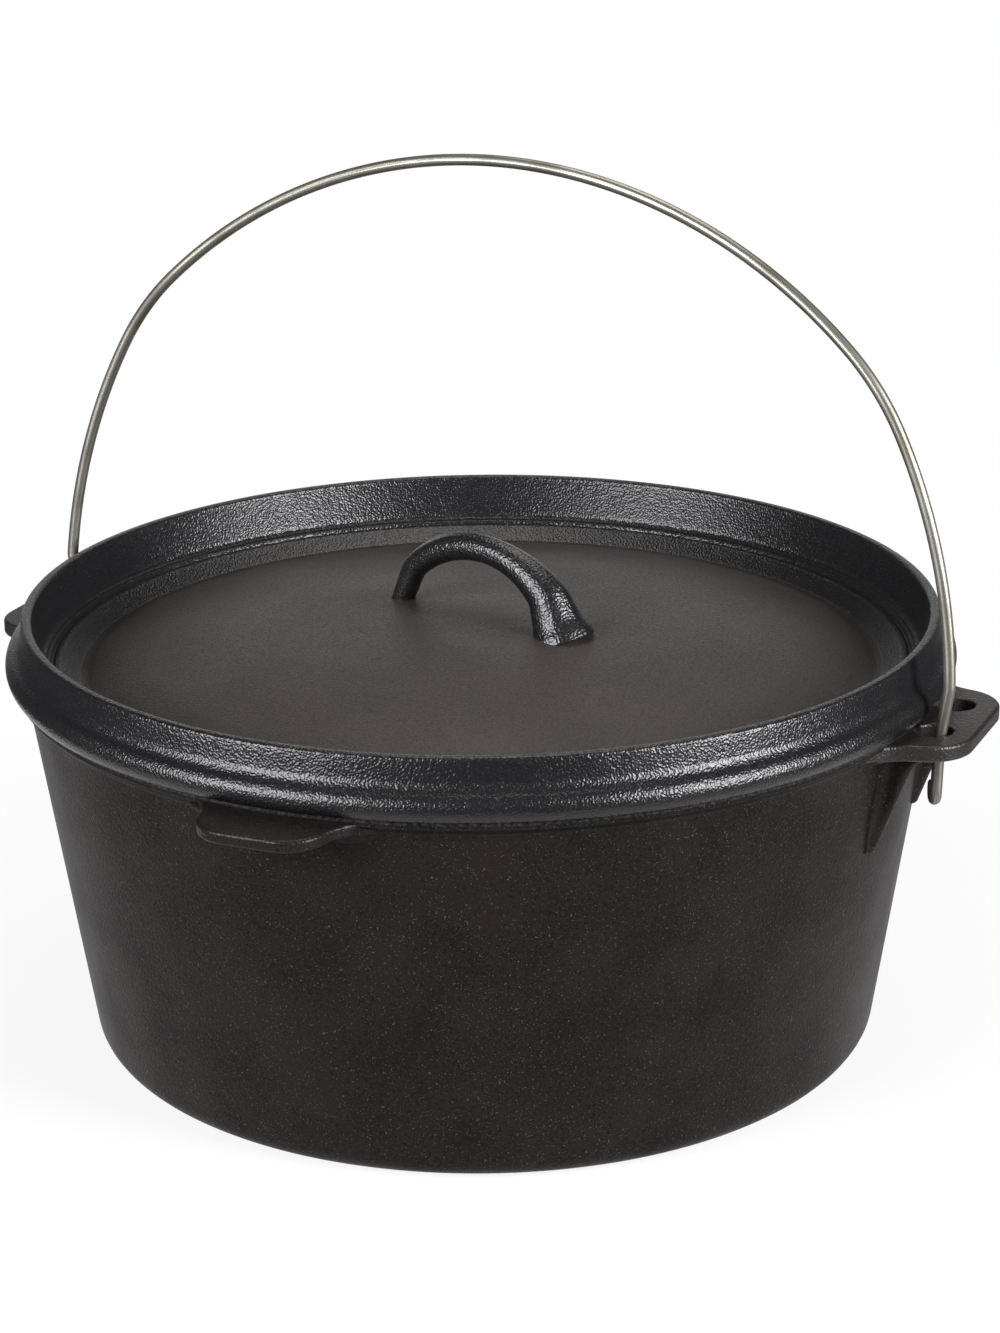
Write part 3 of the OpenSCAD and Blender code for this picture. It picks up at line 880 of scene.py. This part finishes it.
class OVEN_OT_bail(bpy.types.Operator):
    """Bends the wire bail with its two hooks"""

    bl_idname = "oven.bail"
    bl_label = "Bail"

    def execute(self, context):
        """Rings along arcs that touch one another: a crown, shoulders and sides, then legs and hooks.

        The crown's radius is what the other arcs leave between the two legs.
        The flat arch is leaned, then turned to the hinge's line and moved to it.
        """
        p = context.scene.oven.bail
        leg = p.pivot + p.leg_out
        crown_r = leg - p.shoulder_radius * (math.sin(p.shoulder_end) - math.sin(p.crown_half))
        crown_r -= p.side_radius * (math.sin(p.side_end) - math.sin(p.shoulder_end))
        crown_r /= math.sin(p.crown_half)
        side_c = np.array([leg, p.leg_height]) - p.side_radius * self.heading(p.side_end)
        shoulder_c = side_c + (p.side_radius - p.shoulder_radius) * self.heading(p.shoulder_end)
        crown_c = shoulder_c + (p.shoulder_radius - crown_r) * self.heading(p.crown_half)
        on_crown = np.linspace(0, p.crown_half, 60)
        on_shoulder = np.linspace(p.crown_half, p.shoulder_end, 40)[1:]
        on_side = np.linspace(p.shoulder_end, p.side_end, 60)[1:-1]
        flat = np.concatenate(
            [
                crown_c + crown_r * self.heading(on_crown),
                shoulder_c + p.shoulder_radius * self.heading(on_shoulder),
                side_c + p.side_radius * self.heading(on_side),
                rounded([(leg, p.leg_height), (p.pivot, 0), (p.pivot, -p.hook_drop)], [p.leg_bend]),
            ]
        )
        half = np.insert(flat, 1, 0.0, axis=1)
        a = np.linspace(math.pi / 2, 3 * math.pi / 2, 30)[1:]
        out = np.concatenate([p.hook_radius * (1 - np.sin(a)), [2 * p.hook_radius]])
        up = np.concatenate([p.hook_radius * np.cos(a), [p.hook_end]])
        hook = np.stack([out * math.cos(p.hook_turn), out * math.sin(p.hook_turn), up], -1)
        half = np.concatenate([half, hook + [p.pivot, 0, -p.hook_drop]])
        path = even(np.concatenate([(half * [-1, -1, 1])[::-1], half[1:]]), WIRE_STEP)
        along = np.arange(len(path)) * WIRE_STEP
        cut_share, stretch = 0.86, 4.0
        radius = np.full(len(path), p.wire / 2)
        radius[[0, -1]] *= cut_share
        a = np.linspace(0, 2 * math.pi, 28, endpoint=False)
        across, rest = ring_frames(path, np.array([0.0, 1.0, 0.0]))
        grid = path[:, None] + radius[:, None, None] * (
            np.cos(a)[None, :, None] * across[:, None] + np.sin(a)[None, :, None] * rest[:, None]
        )
        ends = np.repeat(path[[0, -1]][:, None], len(a), 1)
        grid = np.concatenate([ends[:1], grid, ends[1:]])
        along = np.concatenate([along[:1], along, along[-1:]])[:, None]
        where = np.stack(np.broadcast_arrays(np.cos(a), np.sin(a), along * stretch), -1)
        c, s = math.cos(p.lean), math.sin(p.lean)
        leaned = grid.reshape(-1, 3) @ np.array([[1, 0, 0], [0, c, -s], [0, s, c]])
        axis = HINGE["axis"]
        placed = spun(leaned, math.atan2(axis[1], axis[0])) + np.array(HINGE["pos_m"])
        wire = grid_piece("bail_wire", placed.reshape(grid.shape), attribute=("wire_place", where))
        place(wire, "bail", "bail", "wire", zinc_wire(context.scene.oven.finish))
        return {"FINISHED"}

    def heading(self, a):
        """Directions at angles down from upright."""
        return np.stack([np.sin(a), np.cos(a)], -1)


class OVEN_OT_stage(bpy.types.Operator):
    """Sets the pale floor, the lamps, the world and the camera"""

    bl_idname = "oven.stage"
    bl_label = "Stage"

    def execute(self, context):
        scene = context.scene
        p = scene.oven.stage
        self.floor(p)
        self.world(scene)
        cool, warm = (0.97, 0.965, 1.0), (1.0, 0.97, 0.93)
        self.lamp("lamp_left", stand=(-0.71, -1.32, 0.66), size=(0.98, 0.8), power=54, colour=cool)
        self.lamp("lamp_right", stand=(1.48, -0.27, 0.64), size=(0.6, 0.85), power=62, colour=cool)
        self.lamp("lamp_top", stand=(-0.1, 0.45, 1.6), size=(0.8, 1.2), power=10.5, colour=warm)
        data = bpy.data.cameras.new("camera")
        data.sensor_fit = "HORIZONTAL"
        data.sensor_width = 36.0
        data.lens = p.lens
        camera = bpy.data.objects.new("camera", data)
        look = (Vector(p.aim) - Vector(p.eye)).to_track_quat("-Z", "Y").to_matrix().to_4x4()
        camera.matrix_world = Matrix.Translation(p.eye) @ look @ Matrix.Rotation(p.roll, 4, "Z")
        scene.collection.objects.link(camera)
        scene.camera = camera
        scene.view_settings.view_transform = "Standard"
        return {"FINISHED"}

    def floor(self, p):
        """A round level floor under the base, which keeps the shadow and fades to white at its edge."""
        below = -0.0001
        rim = np.insert(arc((0, 0), p.floor_radius, 0, 2 * math.pi, 97)[:-1], 2, below, axis=1)
        mesh = bpy.data.meshes.new("floor")
        mesh.from_pydata(rim, [], [list(range(len(rim)))])
        floor = bpy.data.objects.new("floor", mesh)
        bpy.context.scene.collection.objects.link(floor)
        f = Finish("floor_paint")
        paint = f.node("ShaderNodeBsdfDiffuse", None, {"Color": (*p.floor, 1.0)})
        glow = f.node("ShaderNodeEmission", None, {"Color": (1.0, 1.0, 1.0, 1.0), "Strength": 1.0})
        straight = f.node("ShaderNodeLightPath", None, None, "Is Camera Ray")
        glossy = f.node("ShaderNodeLightPath", None, None, "Is Glossy Ray")
        seen = straight + glossy + f.node("ShaderNodeLightPath", None, None, "Is Transmission Ray")
        away = f.node("ShaderNodeVectorMath", {"operation": "LENGTH"}, {0: object_place(f)}, "Value")
        share = seen * f.ramp(away, 0.16, 0.40, 0.82, 1.0)
        mixed = f.node("ShaderNodeMixShader", None, {0: share, 1: paint, 2: glow})
        f.node("ShaderNodeOutputMaterial", None, {"Surface": mixed})
        floor.data.materials.append(f.material)

    def world(self, scene):
        """White behind the oven to the camera and in reflections, and an even soft grey for the light."""
        scene.world = bpy.data.worlds.new("studio")
        f = Finish("studio", scene.world)
        heading = f.node("ShaderNodeTexCoord", None, None, "Generated")
        backdrop = (-0.4, 0.92, 0.0)
        dot = {"operation": "DOT_PRODUCT"}
        behind = f.node("ShaderNodeVectorMath", dot, {0: heading, 1: backdrop}, "Value")
        glossy = f.node("ShaderNodeLightPath", None, None, "Is Glossy Ray") * f.ramp(behind, 0.86, 0.99)
        straight = f.node("ShaderNodeLightPath", None, None, "Is Camera Ray")
        through = f.node("ShaderNodeLightPath", None, None, "Is Transmission Ray")
        seen = f.node("ShaderNodeMath", {"operation": "MAXIMUM"}, {0: straight + through, 1: glossy})
        soft_grey, white = (0.06, 0.06, 0.062), (1.0, 1.0, 1.0)
        sky = f.blend(seen, soft_grey, white)
        light = f.node("ShaderNodeBackground", None, {"Color": sky})
        f.node("ShaderNodeOutputWorld", None, {"Surface": light})

    def lamp(self, name, stand, size, power, colour):
        """A soft rectangular lamp that faces the oven's middle."""
        middle = Vector((0, 0, 0.12))
        data = bpy.data.lights.new(name, "AREA")
        data.shape = "RECTANGLE"
        data.size, data.size_y = size
        data.energy = power
        data.color = colour
        lamp = bpy.data.objects.new(name, data)
        look = (middle - Vector(stand)).to_track_quat("-Z", "Y").to_matrix().to_4x4()
        lamp.matrix_world = Matrix.Translation(stand) @ look
        bpy.context.scene.collection.objects.link(lamp)


class OVEN_PT_panel(bpy.types.Panel):
    """Lists the steps that build the oven"""

    bl_idname = "OVEN_PT_panel"
    bl_label = "Camp oven"
    bl_space_type = "VIEW_3D"
    bl_region_type = "UI"
    bl_category = "Oven"

    def draw(self, context):
        for step in STEPS:
            self.layout.operator(step.bl_idname)


STEPS = (
    OVEN_OT_pot_wall,
    OVEN_OT_pot_plates,
    OVEN_OT_pot_ribs,
    OVEN_OT_lid_plate,
    OVEN_OT_lid_loop,
    OVEN_OT_bail,
    OVEN_OT_stage,
)
GROUPS = (OvenPotSizes, OvenPlateSizes, OvenLidSizes, OvenBailSizes, OvenFinish, OvenStage, OvenSettings)


def register():
    for group in GROUPS + STEPS + (OVEN_PT_panel,):
        bpy.utils.register_class(group)
    bpy.types.Scene.oven = PointerProperty(type=OvenSettings)


def unregister():
    del bpy.types.Scene.oven
    for group in reversed(GROUPS + STEPS + (OVEN_PT_panel,)):
        bpy.utils.unregister_class(group)


def main():
    register()
    bpy.ops.oven.pot_wall()
    bpy.ops.oven.pot_plates()
    bpy.ops.oven.pot_ribs()
    bpy.ops.oven.lid_plate()
    bpy.ops.oven.lid_loop()
    bpy.ops.oven.bail()
    bpy.ops.oven.stage()


if __name__ == "__main__":
    main()
